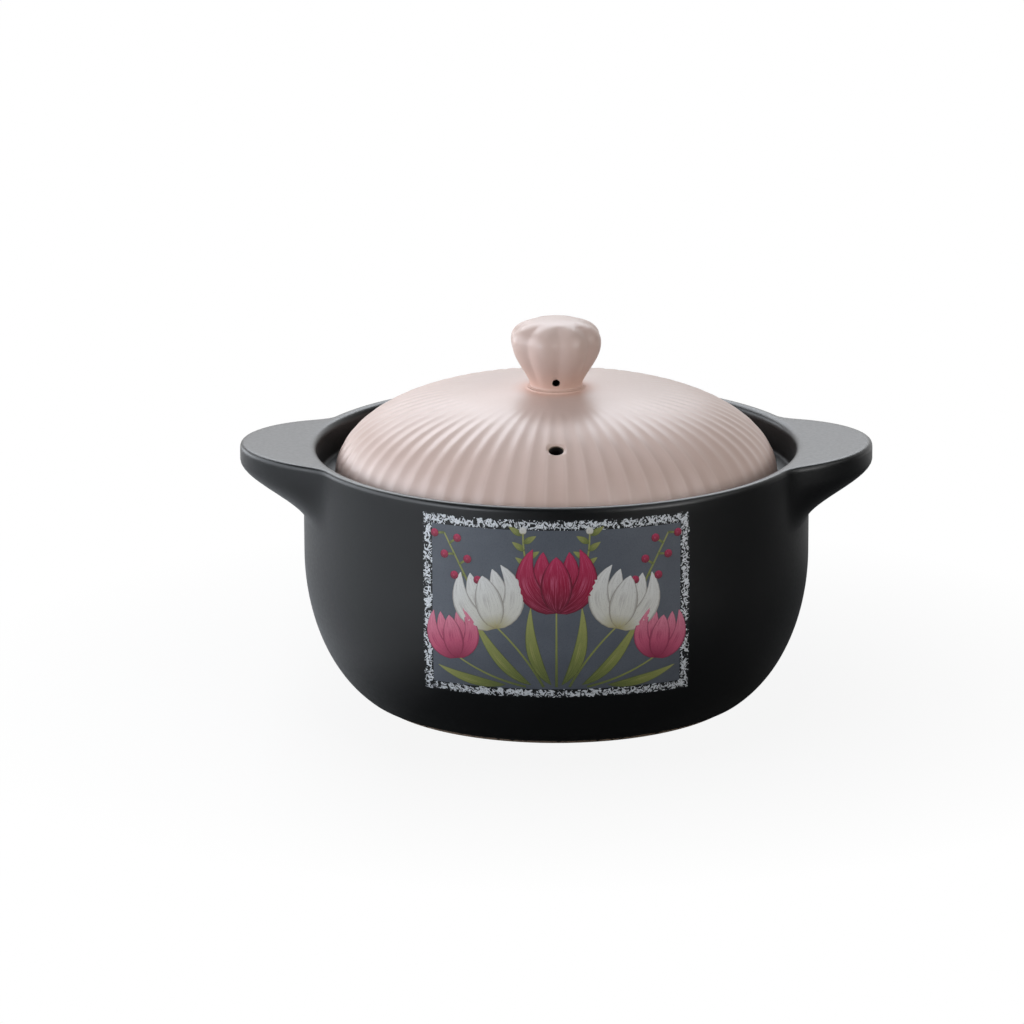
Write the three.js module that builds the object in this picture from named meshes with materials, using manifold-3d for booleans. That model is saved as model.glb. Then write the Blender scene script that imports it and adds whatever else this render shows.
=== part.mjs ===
// Lidded ceramic casserole pot: a round black body with two ear handles, a fluted dome lid with a
// hollow lobed knob, and a framed transfer fired onto the front of the body.
// Millimetres, +Z up, origin at the middle of the foot ring's underside, front towards -Y.
import * as THREE from 'three';
import { mergeVertices } from 'three/addons/utils/BufferGeometryUtils.js';
import Module from 'manifold-3d';

// Pot body: rim, wall and floor
const BODY_RADIUS = 102;
const RIM_HEIGHT = 103.5;
const RIM_WIDTH = 5.5;
const RIM_ROUND = 1.2;
const RIM_INNER_ROUND = 3.3;
const SHOULDER_HEIGHT = 60;
const LOWER_WALL_SWEEP_DEGREES = 65;
const WALL_THICKNESS = 8;
const FLOOR_THICKNESS = 5.5;
const BOWL_CORNER_WIDTH = 42;

// Foot ring under the body
const FOOT_RADIUS = 75;
const FOOT_HEIGHT = 2.2;
const FOOT_STEP = 3.6;
const FOOT_RING_WIDTH = 9;
const FOOT_RECESS = 3;

// Gallery inside the rim, with the ledge that carries the lid
const GALLERY_DEPTH = 13.5;
const LEDGE_BEARING = 5;
const LEDGE_THICKNESS = 6;

// Ear handles, level with the rim at their roots and a little higher at their tips
const HANDLE_REACH = 25.5;
const HANDLE_LIFT = 1.3;
const HANDLE_HALF_ANGLE_DEGREES = 25;
const HANDLE_POINT_POWER = 1.2;
const HANDLE_DROP = 27.6;
const HANDLE_EDGE_DEPTH = 6.9;
const HANDLE_EDGE_ROUND = 2.2;
const LUTING_GAP = 0.3;

// Lid: a dome with flutes, a locating skirt and a steam vent
const LID_EDGE_GAP = 7;
const LID_RISE = 36.7;
const LID_EDGE_ROUND = 1;
const LID_THICKNESS = 7;
const DOME_PLAN_POWER = 2.85;
const DOME_RISE_POWER = 2.05;
const SKIRT_DEPTH = 8;
const SKIRT_THICKNESS = 4;
const SKIRT_CLEARANCE = 2;
const FLUTE_COUNT = 64;
const FLUTE_DEPTH = 0.6;
const FLUTE_START_RADIUS = 34;
const FLUTE_RUNOUT = 32;
const LID_VENT_DIAMETER = 5.6;
const LID_VENT_INSET = 23.6;

// Knob: a hollow bulb with lobes, stuck to the top of the lid
const KNOB_HEIGHT = 28.35;
const KNOB_RADIUS = 18.7;
const KNOB_CROWN_HEIGHT = 8.8;
const KNOB_CROWN_POWER = 2.4;
const KNOB_NECK_RADIUS = 10.4;
const KNOB_FLARE_POWER = 1.5;
const KNOB_BEAD_WIDTH = 0.9;
const KNOB_BEAD_HEIGHT = 1.1;
const KNOB_SEAT_MARGIN = 1.2;
const KNOB_THICKNESS = 4;
const KNOB_VENT_DIAMETER = 2.8;
const KNOB_VENT_HEIGHT = 4.6;
const LOBE_COUNT = 8;
const LOBE_DEPTH = 1.5;
const LOBE_TURN_DEGREES = 4;

// Transfer on the front: a panel inside a border
const TRANSFER_WIDTH = 103.4;
const TRANSFER_FOOT_MARGIN = 25.3;
const TRANSFER_RIM_MARGIN = 4.6;
const BORDER_WIDTH = 3.9;
const FILM_THICKNESS = 0.4;
const FILM_GAP = 0.3;

// Fineness of the curves
const BODY_SEGMENTS = 72;
const HANDLE_SEGMENTS = 144;
const HANDLE_STEPS = 8;
const HOLLOW_SEGMENTS = 48;
const FLUTE_SEGMENTS = 2;
const LOBE_SEGMENTS = 6;
const VENT_SEGMENTS = 20;
const WALL_STEPS = 8;
const RIM_STEPS = 3;
const BOWL_STEPS = 7;
const DOME_STEPS = 9;
const FLARE_STEPS = 6;
const CROWN_STEPS = 5;

// How far a cutting shape runs past the surface that it cuts
const OVERCUT = 5;

// Places that follow from the sizes
const galleryRadius = BODY_RADIUS - RIM_WIDTH;
const rimMiddleRadius = BODY_RADIUS - RIM_WIDTH / 2;
const ledgeHeight = RIM_HEIGHT - GALLERY_DEPTH;
const lidRadius = galleryRadius - LID_EDGE_GAP;
const ledgeBoreRadius = lidRadius - LEDGE_BEARING;
const skirtRadius = ledgeBoreRadius - SKIRT_CLEARANCE;
const skirtBoreRadius = skirtRadius - SKIRT_THICKNESS;
const bowlRadius = BODY_RADIUS - WALL_THICKNESS;
const floorHeight = FOOT_RECESS + FLOOR_THICKNESS;
const knobBeadRadius = KNOB_NECK_RADIUS + KNOB_BEAD_WIDTH;
const knobSeatRadius = knobBeadRadius + KNOB_SEAT_MARGIN;
const knobSeatHeight = ledgeHeight + domeRise(knobSeatRadius);

const wasm = await Module();
wasm.setup();

function point(radius, height) {
  return new THREE.Vector2(radius, height);
}

// Points of a curve, from its formula at even steps between two values.
function curve(from, to, steps, formula) {
  const points = [];
  for (let step = 0; step <= steps; step += 1) {
    points.push(formula(from + ((to - from) * step) / steps));
  }
  return points;
}

// A profile turned about the Z axis, starting at the front.
function turned(profile, segments) {
  const geometry = new THREE.LatheGeometry(profile, segments);
  geometry.rotateX(Math.PI / 2);
  return geometry;
}

// Moves each point of a turned shape by the vector that the formula gives there.
function moved(geometry, formula) {
  const position = geometry.getAttribute('position');
  const normal = geometry.getAttribute('normal');
  const place = new THREE.Vector3();
  const outward = new THREE.Vector3();
  for (let index = 0; index < position.count; index += 1) {
    place.fromBufferAttribute(position, index);
    outward.fromBufferAttribute(normal, index);
    const radius = Math.hypot(place.x, place.y);
    const angle = Math.atan2(place.x, -place.y);
    place.add(formula(radius, angle, place.z, outward));
    position.setXYZ(index, place.x, place.y, place.z);
  }
  return geometry;
}

// A closed geometry as a solid for joining and cutting.
function solid(geometry) {
  const bare = geometry.clone();
  bare.deleteAttribute('normal');
  bare.deleteAttribute('uv');
  const merged = mergeVertices(bare);
  const corners = merged.getIndex().array;
  const triangles = [];
  for (let first = 0; first < corners.length; first += 3) {
    const [a, b, c] = corners.slice(first, first + 3);
    if (a !== b && b !== c && c !== a) triangles.push(a, b, c);
  }
  return new wasm.Manifold(
    new wasm.Mesh({
      numProp: 3,
      vertProperties: new Float32Array(merged.getAttribute('position').array),
      triVerts: new Uint32Array(triangles),
    }),
  );
}

// A solid's surface as a geometry.
function surface(body) {
  const mesh = body.getMesh();
  const geometry = new THREE.BufferGeometry();
  geometry.setAttribute('position', new THREE.BufferAttribute(mesh.vertProperties, 3));
  geometry.setIndex(new THREE.BufferAttribute(mesh.triVerts, 1));
  geometry.computeVertexNormals();
  return geometry;
}

// Outer wall of the body, from the foot to the rim

// The lower wall is an arc of an ellipse that leaves the upright wall at the shoulder.
function lowerWall(steps) {
  const sweep = THREE.MathUtils.degToRad(LOWER_WALL_SWEEP_DEGREES);
  const across = (BODY_RADIUS - FOOT_RADIUS - FOOT_STEP) / (1 - Math.cos(sweep));
  const down = (SHOULDER_HEIGHT - FOOT_HEIGHT) / Math.sin(sweep);
  return curve(sweep, 0, steps, (turn) =>
    point(BODY_RADIUS - across * (1 - Math.cos(turn)), SHOULDER_HEIGHT - down * Math.sin(turn)),
  );
}

function outerWall(offset) {
  const points = lowerWall(WALL_STEPS);
  points.push(point(BODY_RADIUS, RIM_HEIGHT - RIM_ROUND));
  return points.map((place) => point(place.x + offset, place.y));
}

function potBody() {
  const slopeFootHeight = ledgeHeight - LEDGE_THICKNESS - (bowlRadius - ledgeBoreRadius);
  const bowl = curve(0, Math.PI / 2, BOWL_STEPS, (turn) =>
    point(
      bowlRadius - BOWL_CORNER_WIDTH * (1 - Math.cos(turn)),
      slopeFootHeight - (slopeFootHeight - floorHeight) * Math.sin(turn),
    ),
  );
  const innerRim = curve(Math.PI / 2, 0, RIM_STEPS, (turn) =>
    point(
      galleryRadius + RIM_INNER_ROUND * (1 - Math.cos(turn)),
      RIM_HEIGHT - RIM_INNER_ROUND * (1 - Math.sin(turn)),
    ),
  );
  const profile = [
    point(0, FOOT_RECESS),
    point(FOOT_RADIUS - FOOT_RING_WIDTH, FOOT_RECESS),
    point(FOOT_RADIUS - FOOT_RING_WIDTH, 0),
    point(FOOT_RADIUS, 0),
    point(FOOT_RADIUS, FOOT_HEIGHT),
    ...outerWall(0),
    point(BODY_RADIUS - RIM_ROUND, RIM_HEIGHT),
    ...innerRim,
    point(galleryRadius, ledgeHeight),
    point(ledgeBoreRadius, ledgeHeight),
    point(ledgeBoreRadius, ledgeHeight - LEDGE_THICKNESS),
    ...bowl,
    point(0, floorHeight),
  ];
  return turned(profile, BODY_SEGMENTS);
}

// The body's outer shape, filled and grown by the luting gap, cuts the handles' roots.
function handleCutter() {
  const wall = outerWall(LUTING_GAP);
  const top = RIM_HEIGHT + OVERCUT;
  const profile = [point(0, wall[0].y), ...wall, point(BODY_RADIUS + LUTING_GAP, top), point(0, top)];
  return solid(turned(profile, BODY_SEGMENTS));
}

// How far a handle stands out, as a share of its reach, by the angle from its tip and the height.
function handleShare(angle, height) {
  const share = angle / THREE.MathUtils.degToRad(HANDLE_HALF_ANGLE_DEGREES);
  const plan = Math.max(0, 1 - share ** 2) ** HANDLE_POINT_POWER;
  const underside = THREE.MathUtils.smoothstep(
    height,
    RIM_HEIGHT - HANDLE_DROP,
    RIM_HEIGHT - HANDLE_EDGE_DEPTH,
  );
  return plan * underside;
}

// A disc under the rim, swollen at the tip's side into an ear and cut off at the wall.
function handle(tipAngle) {
  const side = curve(HANDLE_DROP, HANDLE_EDGE_DEPTH, HANDLE_STEPS, (drop) =>
    point(BODY_RADIUS, RIM_HEIGHT - drop),
  );
  const profile = [
    point(0, RIM_HEIGHT - HANDLE_DROP),
    ...side,
    point(BODY_RADIUS, RIM_HEIGHT - HANDLE_EDGE_ROUND),
    point(BODY_RADIUS - HANDLE_EDGE_ROUND, RIM_HEIGHT),
    point(galleryRadius, RIM_HEIGHT),
    point(0, RIM_HEIGHT),
  ];
  const ear = moved(turned(profile, HANDLE_SEGMENTS), (radius, angle, height) => {
    const fromTip = Math.atan2(Math.sin(angle - tipAngle), Math.cos(angle - tipAngle));
    const share = radius > rimMiddleRadius ? handleShare(fromTip, height) : 0;
    const swell = HANDLE_REACH * share;
    return new THREE.Vector3(swell * Math.sin(angle), -swell * Math.cos(angle), HANDLE_LIFT * share);
  });
  return surface(solid(ear).subtract(handleCutter()));
}

// Height of the lid's outer dome above the ledge, at a radius.
function domeRise(radius) {
  return LID_RISE * (1 - (radius / lidRadius) ** DOME_PLAN_POWER) ** (1 / DOME_RISE_POWER);
}

// Points of a dome from a low height to the radius where it ends.
function dome(baseRadius, rise, lowHeight, endRadius) {
  const from = Math.asin((lowHeight / rise) ** (DOME_RISE_POWER / 2));
  const to = Math.acos((endRadius / baseRadius) ** (DOME_PLAN_POWER / 2));
  return curve(from, to, DOME_STEPS, (turn) =>
    point(
      baseRadius * Math.cos(turn) ** (2 / DOME_PLAN_POWER),
      ledgeHeight + rise * Math.sin(turn) ** (2 / DOME_RISE_POWER),
    ),
  );
}

// Hollow flutes with sharp ridges between them, shallower towards the middle of the lid.
function fluteDepth(radius, angle, height) {
  if (height <= ledgeHeight) return 0;
  const start = FLUTE_START_RADIUS;
  const fade = THREE.MathUtils.smoothstep(radius, start, start + FLUTE_RUNOUT);
  return FLUTE_DEPTH * fade * Math.abs(Math.cos((FLUTE_COUNT / 2) * angle));
}

// The steam vent goes through the front of the dome, square to its surface.
function lidVent() {
  const radius = lidRadius - LID_VENT_INSET;
  const rise = domeRise(radius);
  const across = DOME_PLAN_POWER * (radius / lidRadius) ** (DOME_PLAN_POWER - 1) * (1 / lidRadius);
  const up = DOME_RISE_POWER * (rise / LID_RISE) ** (DOME_RISE_POWER - 1) * (1 / LID_RISE);
  const length = 2 * (LID_THICKNESS + OVERCUT);
  const half = LID_VENT_DIAMETER / 2;
  const drill = new THREE.CylinderGeometry(half, half, length, VENT_SEGMENTS);
  drill.rotateX(Math.PI / 2 + Math.atan2(across, up));
  drill.translate(0, -radius, ledgeHeight + rise);
  return solid(drill);
}

function lid() {
  const skirtFoot = ledgeHeight - SKIRT_DEPTH;
  const shell = [
    point(0, skirtFoot),
    point(skirtRadius, skirtFoot),
    point(skirtRadius, ledgeHeight),
    point(lidRadius - LID_EDGE_ROUND, ledgeHeight),
    ...dome(lidRadius, LID_RISE, LID_EDGE_ROUND, knobSeatRadius),
    point(0, knobSeatHeight),
  ];
  const hollow = [
    point(0, skirtFoot - OVERCUT),
    point(skirtBoreRadius, skirtFoot - OVERCUT),
    ...dome(skirtBoreRadius, LID_RISE - LID_THICKNESS, 0, 0),
  ];
  const fluted = moved(turned(shell, FLUTE_COUNT * FLUTE_SEGMENTS), (radius, angle, height, outward) =>
    outward.multiplyScalar(-fluteDepth(radius, angle, height)),
  );
  const inside = turned(hollow, HOLLOW_SEGMENTS);
  return surface(solid(fluted).subtract(solid(inside)).subtract(lidVent()));
}

// The knob's side above its bead, from the neck out to the widest place and over the crown.
function knobSide(inset, startHeight) {
  const neck = KNOB_NECK_RADIUS - inset;
  const spread = KNOB_RADIUS - KNOB_NECK_RADIUS;
  const widest = KNOB_HEIGHT - KNOB_CROWN_HEIGHT;
  const flare = curve(0, Math.PI / 2, FLARE_STEPS, (turn) =>
    point(
      neck + spread * Math.sin(turn) ** KNOB_FLARE_POWER,
      knobSeatHeight + startHeight + ((widest - startHeight) * turn) / (Math.PI / 2),
    ),
  );
  const crown = curve(0, Math.PI / 2, CROWN_STEPS, (turn) =>
    point(
      (KNOB_RADIUS - inset) * Math.cos(turn) ** (2 / KNOB_CROWN_POWER),
      knobSeatHeight + widest + (KNOB_CROWN_HEIGHT - inset) * Math.sin(turn) ** (2 / KNOB_CROWN_POWER),
    ),
  );
  return [...flare, ...crown.slice(1)];
}

// Grooves between the lobes, which die out at the neck and in the middle of the crown.
function grooveDepth(radius, angle) {
  const turn = THREE.MathUtils.degToRad(LOBE_TURN_DEGREES);
  const fade = (radius - KNOB_NECK_RADIUS) / (KNOB_RADIUS - KNOB_NECK_RADIUS);
  const groove = 1 - Math.abs(Math.sin((LOBE_COUNT / 2) * (angle - turn)));
  return LOBE_DEPTH * THREE.MathUtils.clamp(fade, 0, 1) * groove;
}

function knob() {
  const outside = [
    point(0, knobSeatHeight),
    point(knobBeadRadius, knobSeatHeight),
    point(knobBeadRadius, knobSeatHeight + KNOB_BEAD_HEIGHT / 2),
    ...knobSide(0, KNOB_BEAD_HEIGHT),
  ];
  const hollow = [
    point(0, knobSeatHeight - OVERCUT),
    point(KNOB_NECK_RADIUS - KNOB_THICKNESS, knobSeatHeight - OVERCUT),
    ...knobSide(KNOB_THICKNESS, KNOB_BEAD_HEIGHT),
  ];
  const lobed = moved(turned(outside, LOBE_COUNT * LOBE_SEGMENTS), (radius, angle, height, outward) =>
    outward.multiplyScalar(height > knobSeatHeight + KNOB_BEAD_HEIGHT ? -grooveDepth(radius, angle) : 0),
  );
  const inside = turned(hollow, HOLLOW_SEGMENTS / 2);
  const half = KNOB_VENT_DIAMETER / 2;
  const drill = new THREE.CylinderGeometry(half, half, KNOB_RADIUS, VENT_SEGMENTS);
  drill.translate(0, -KNOB_RADIUS / 2, knobSeatHeight + KNOB_VENT_HEIGHT);
  return surface(solid(lobed).subtract(solid(inside)).subtract(solid(drill)));
}

// A film that follows the wall all round, to be trimmed to the transfer's shape.
function wallFilm() {
  const outside = outerWall(FILM_GAP + FILM_THICKNESS);
  const inside = outerWall(FILM_GAP).reverse();
  return solid(turned([...outside, ...inside, outside[0]], BODY_SEGMENTS));
}

// An upright block through the front of the body that frames the transfer, taken in by a margin.
function transferFrame(margin) {
  const bottom = TRANSFER_FOOT_MARGIN + margin;
  const top = RIM_HEIGHT - TRANSFER_RIM_MARGIN - margin;
  const depth = BODY_RADIUS + OVERCUT;
  const block = new THREE.BoxGeometry(TRANSFER_WIDTH - 2 * margin, depth, top - bottom);
  block.translate(0, -depth / 2, (top + bottom) / 2);
  return solid(block);
}

function transferBorder() {
  return surface(wallFilm().intersect(transferFrame(0)).subtract(transferFrame(BORDER_WIDTH)));
}

function transferPanel() {
  return surface(wallFilm().intersect(transferFrame(BORDER_WIDTH + FILM_GAP)));
}

// Finishes
function glaze(color, roughness) {
  return new THREE.MeshStandardMaterial({ color, roughness, metalness: 0 });
}

const blackGlaze = glaze(0x24292a, 0.42);
const pinkGlaze = glaze(0xdcc0b8, 0.4);
const slateFilm = glaze(0x585d66, 0.5);
const speckleFilm = glaze(0xb4b7ba, 0.5);

// The assembly
const casserole = new THREE.Group();

function addPiece(name, geometry, material) {
  const piece = new THREE.Mesh(geometry, material);
  piece.name = name;
  casserole.add(piece);
}

addPiece('pot_body', potBody(), blackGlaze);
addPiece('left_handle', handle(-Math.PI / 2), blackGlaze);
addPiece('right_handle', handle(Math.PI / 2), blackGlaze);
addPiece('transfer_border', transferBorder(), speckleFilm);
addPiece('transfer_panel', transferPanel(), slateFilm);
addPiece('lid', lid(), pinkGlaze);
addPiece('knob', knob(), pinkGlaze);

export default casserole;
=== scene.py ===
"""Looks of a lidded ceramic casserole pot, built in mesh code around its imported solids.

Metres, +Z up, front towards -Y. Angles about the pot start at the front and grow towards +X.
"""
import math

import bpy
import numpy as np
from mathutils import Matrix, Quaternion, Vector


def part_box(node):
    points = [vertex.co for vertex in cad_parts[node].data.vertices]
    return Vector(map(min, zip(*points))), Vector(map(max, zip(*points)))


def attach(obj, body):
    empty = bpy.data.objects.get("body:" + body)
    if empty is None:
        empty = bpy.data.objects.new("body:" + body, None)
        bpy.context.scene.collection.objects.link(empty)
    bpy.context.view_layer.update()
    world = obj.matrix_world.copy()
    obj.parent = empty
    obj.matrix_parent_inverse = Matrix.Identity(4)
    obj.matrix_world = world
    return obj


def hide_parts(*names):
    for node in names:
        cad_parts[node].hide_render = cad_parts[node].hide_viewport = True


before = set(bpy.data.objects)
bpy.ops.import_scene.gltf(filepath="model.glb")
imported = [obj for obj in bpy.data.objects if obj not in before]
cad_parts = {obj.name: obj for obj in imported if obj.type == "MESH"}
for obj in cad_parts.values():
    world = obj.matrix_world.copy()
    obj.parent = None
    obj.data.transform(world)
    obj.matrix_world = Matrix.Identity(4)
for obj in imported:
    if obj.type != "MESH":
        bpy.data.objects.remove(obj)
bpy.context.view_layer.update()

# Sizes that the solids give
_, body_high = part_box("pot_body")
_, handle_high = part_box("right_handle")
lid_low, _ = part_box("lid")
knob_low, knob_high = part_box("knob")
border_low, border_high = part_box("transfer_border")
BODY_RADIUS = body_high.x
RIM_HEIGHT = body_high.z
HANDLE_REACH = handle_high.x - BODY_RADIUS
HANDLE_LIFT = handle_high.z - RIM_HEIGHT
SKIRT_FOOT = lid_low.z
KNOB_SEAT = knob_low.z
KNOB_HEIGHT = knob_high.z - KNOB_SEAT
TRANSFER_BOTTOM = border_low.z
TRANSFER_TOP = border_high.z

# Pot body
RIM_WIDTH = 0.0055
RIM_ROUND = 0.0022
RIM_INNER_ROUND = 0.0033
SHOULDER_HEIGHT = 0.06
LOWER_WALL_SWEEP = math.radians(65)
WALL_THICKNESS = 0.008
FLOOR_THICKNESS = 0.0055
BOWL_CORNER_WIDTH = 0.042
BOWL_ROUND = 0.003
FOOT_RADIUS = 0.075
FOOT_HEIGHT = 0.0022
FOOT_STEP = 0.0036
FOOT_RING_WIDTH = 0.009
FOOT_RECESS = 0.003
FOOT_ROUND = 0.0009
LEDGE_BEARING = 0.005
LEDGE_THICKNESS = 0.006
LEDGE_ROUND = 0.0016

# Ear handles
HANDLE_HALF_ANGLE = math.radians(24)
HANDLE_POINT_POWER = 1.05
HANDLE_BLEND = math.radians(2.5)
HANDLE_DROP = 0.0276
HANDLE_EDGE_DEPTH = 0.0069
HANDLE_EDGE_ROUND = 0.0024

# Lid
SKIRT_DEPTH = 0.008
SKIRT_THICKNESS = 0.004
SKIRT_CLEARANCE = 0.002
SKIRT_ROUND = 0.0012
LID_EDGE_GAP = 0.007
LID_EDGE_ROUND = 0.001
LID_SEAT_GAP = 0.0001
LID_RISE = 0.0367
LID_THICKNESS = 0.007
DOME_PLAN_POWER = 2.85
DOME_RISE_POWER = 2.05
FLUTE_COUNT = 64
FLUTE_DEPTH = 0.0006
FLUTE_SOFTNESS = 0.3
FLUTE_START_RADIUS = 0.029
FLUTE_RUNOUT = 0.046
LID_VENT_RADIUS = 0.0028
LID_VENT_INSET = 0.0236
LID_VENT_LIP = 0.0009

# Knob
KNOB_RADIUS = 0.0187
KNOB_CROWN_HEIGHT = 0.0088
KNOB_CROWN_POWER = 2.4
KNOB_NECK_RADIUS = 0.0104
KNOB_FLARE_POWER = 1.5
KNOB_BEAD_WIDTH = 0.0009
KNOB_BEAD_HEIGHT = 0.0011
KNOB_SEAT_MARGIN = 0.0012
KNOB_FILLET_SHARE = 0.85
KNOB_THICKNESS = 0.004
KNOB_VENT_RADIUS = 0.0014
KNOB_VENT_HEIGHT = 0.0046
KNOB_VENT_LIP = 0.0004
LOBE_COUNT = 8
LOBE_DEPTH = 0.0015
LOBE_TURN = math.radians(4)
LOBE_SOFTNESS = 0.15
LOBE_FADE_POWER = 0.7

# Marks on the glaze: pooled or thin, and how bare the clay is, from wiped to painted dark as shade in the
# vents
# A pool dulls the glaze and carries painted shading in its colour: warmer pink round the knob's foot for
# bounced light, darker black in the gallery's corner
POOLED_AND_SHADED = -1
POOL_AND_SHADING_HEIGHT = 0.013
POOL_AND_SHADING_RADIUS = 0.018
FOOT_THIN = 0.5
LEDGE_THIN = 0.6
LID_EDGE_THIN = 0.8
RIDGE_THIN = 0.5
RIDGE_POWER = 3
LID_EDGE_BARE = 0.35
FOOT_BARE = 0.6
SKIRT_BARE = 0.7
WIPED = 1
# At this mark the clay is painted near black as the shade inside a vent's bore
VENT_SHADED = 2

# Transfer on the front wall
TRANSFER_HALF_ARC = 0.0545
BORDER_WIDTH = 0.0041
FILM_THICKNESS = 0.00004
FILM_EDGE_ANGLE = math.radians(40)
GROUND_LIFT = 0.0001
BORDER_LIFT = 0.00012
MOTIF_LIFT = 0.00013
MOTIF_LAYER = 0.00002
MOTIF_CROWN = 0.00001

# Motifs, in millimetres: a line is its start, bend and end, a tulip its foot, lean, width and height
MILLIMETRE = 0.001
MIDDLE_TULIP = ((0, 33), 0, 23, 25)
MIDDLE_STEM = ((0, 1), (0, 16), (0, 34))
WHITE_TULIP = ((24, 26), math.radians(14), 21, 24)
PINK_TULIP = ((40, 12), math.radians(10), 16, 20)
TULIP_STEMS = (
    ((5, 1), (12, 16), (24, 27)),
    ((12, 1), (26, 4), (40, 13)),
)
SPRIG_STEMS = (
    ((30, 34), (36, 46), (45, 63)),
    ((5, 40), (13, 48), (13, 65)),
)
STEM_HALF_WIDTH = 0.55
STEM_TAPER = 0.4
BUD = (13, 66)
BUD_HALF_WIDTH = 1.5
BERRY_HALF_WIDTH = 1.7
BERRY_LAYER = 3
SPRIG_LEAF_HALF_WIDTH = 1.3
SPRIG_LEAF_BEND = 0.4

# Leaves are their line and half width.
LEAVES = (
    (((2, 2), (12, 14), (10, 35)), 2.6),
    (((10, 2), (22, 8), (33, 30)), 2.4),
    (((20, 1.5), (34, 1), (48, 8)), 2.2),
)

# A sprig is its foot and run, the share of it where it starts to bear, and how far it bears in and out.
SPRIG_COUNT = 6
BERRY_SPRIG = ((31, 36), (14, 27), 0.25, (-3.4, 2.4), (4.2, -0.5))
LEAF_SPRIG = ((9, 42), (4.5, 22), 0.3, (-5, 3), (5, 3.5))

# Petals are their line and half width as shares of the tulip's size, their layer and their sides.
PETALS = (
    (((0, 0.05), (0.3, 0.5), (0.22, 0.98)), 0.2, 1, (-1, 1)),
    (((0, 0), (0.78, 0.34), (0.4, 1.02)), 0.2, 2, (-1, 1)),
    (((0, 0), (0, 0.5), (0, 0.9)), 0.27, 4, (1,)),
)

# Detail of the glazes and clay: noise scales to the metre, bumps in metres, and ranges of noise or of marks
NOISE_LOW = 0.3
NOISE_HIGH = 0.7
NOISE_RANGE = (NOISE_LOW, NOISE_HIGH)
CLOUD_SCALE = 45
RIPPLE_SCALE = 160
FINE_SCALE = 700
GRAIN_SCALE = 2600
SPECK_RANGE = (0.62, 0.74)
EDGE_RANGE = (0.25, 1)
EDGE_WEAR = 0.55
WIPED_RANGE = (0.95, 1.05)
SAND_RANGE = (0.35, 0.65)
SAND_SHARE = 0.5
GLAZE_BUMP = 0.00006
GLAZE_BUMP_STRENGTH = 0.1
FINE_BUMP_SHARE = 0.35
POOL_DULLNESS = 0.25
CLAY_ROUGHNESS = 0.8

# Detail of the films, in the same units
PRINT_SCALE = 2200
PRINT_BUMP = 0.00004
PRINT_BUMP_STRENGTH = 0.4
FILM_ROUGHNESS = (0.45, 0.55)
SLATE_CLOUD_SCALE = 70
SLATE_DOT_RANGE = (0.45, 0.7)
SLATE_DOT_SHARE = 0.35
FLECK_SCALE = 430
FLECK_DISTORTION = 2.4
FLECK_RANGE = (0.47, 0.49)
FLECK_GREY_AT = 0.35
FLECK_WHITE_AT = 0.6
SPARSE_RANGE = (0.22, 0.5)
SPARSE_LOSS = 0.14
STREAK_STRETCH = (26, 3, 1)
STREAK_RANGE = (0.5, 0.68)
STREAK_SHARE = 0.75
RIM_LINE_RANGE = (0.4, 0.5)
RIM_LINE_SHARE = 0.85
PETAL_DOT_RANGE = (0.6, 0.72)
PETAL_DOT_SHARE = 0.3

# Stage: a white floor and backdrop to the eye, and to the light a dark board with a pale card on its left
STAGE_RADIUS = 1.6
STAGE_GAP = 0.0002
STAGE_THICKNESS = 0.003
BOARD_SCALE = 300
BOARD_ROUGHNESS = 0.9
SHADOW_RANGE = (0.1, 0.26)
SHADOW_SHARE = 0.91
CARD_RIGHT_EDGE = (-0.06, -0.12)
CARD_LEFT_EDGE = (-0.42, -0.62)
CARD_BACK = (0, 0.25)
CARD_BACK_SHARE = 0.5
FLOOR_BACKDROP = (0.15, 0.6)
SKY_BACKDROP = (0.2, 0.8)
BACKDROP_IN_GLOSS = 0.9
SKY_GLOW_RANGE = (-0.1, 0.6)
SKY_GLOW = (0.01, 0.03)
WHITE = (1, 1, 1, 1)

# Lamps: name, place, width, height, power and colour
LAMP_AIM = Vector((0, 0, 0.07))
COOL = (0.94, 0.99, 1.06)
NEUTRAL = (1, 1, 1)
LAMPS = (
    ("left_softbox", (-1.12, -0.1, 0.5), 1.4, 0.95, 12, COOL),
    ("left_back_strip", (-0.9, 0.65, 0.24), 0.6, 0.42, 2.4, COOL),
    ("top_softbox", (0.05, 0.2, 1.25), 0.8, 0.7, 1.2, COOL),
    ("top_back_softbox", (-0.12, 1.0, 0.85), 1.1, 0.5, 7.2, COOL),
    ("back_strip", (0.0, 1.3, 0.48), 1.2, 0.3, 0.8, NEUTRAL),
    ("right_softbox", (0.9, -0.45, 0.85), 1.1, 0.9, 4, NEUTRAL),
    ("front_left_softbox", (-1.05, -1.15, 0.42), 0.8, 0.5, 7.6, COOL),
    ("front_right_softbox", (1.15, -1.05, 0.42), 0.8, 0.5, 6.6, NEUTRAL),
)

# Camera, with its sensor and lens in millimetres
CAMERA_DISTANCE = 2.5
CAMERA_ELEVATION = math.radians(15.16)
CAMERA_TARGET = Vector((0, 0, 0.075))
CAMERA_AIM = Vector((-0.0179, 0, 0.0747))
CAMERA_ROLL = math.radians(-0.2)
CAMERA_SENSOR = 36
CAMERA_LENS = 217.3
CAMERA_CLIP_START = 0.05

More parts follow.
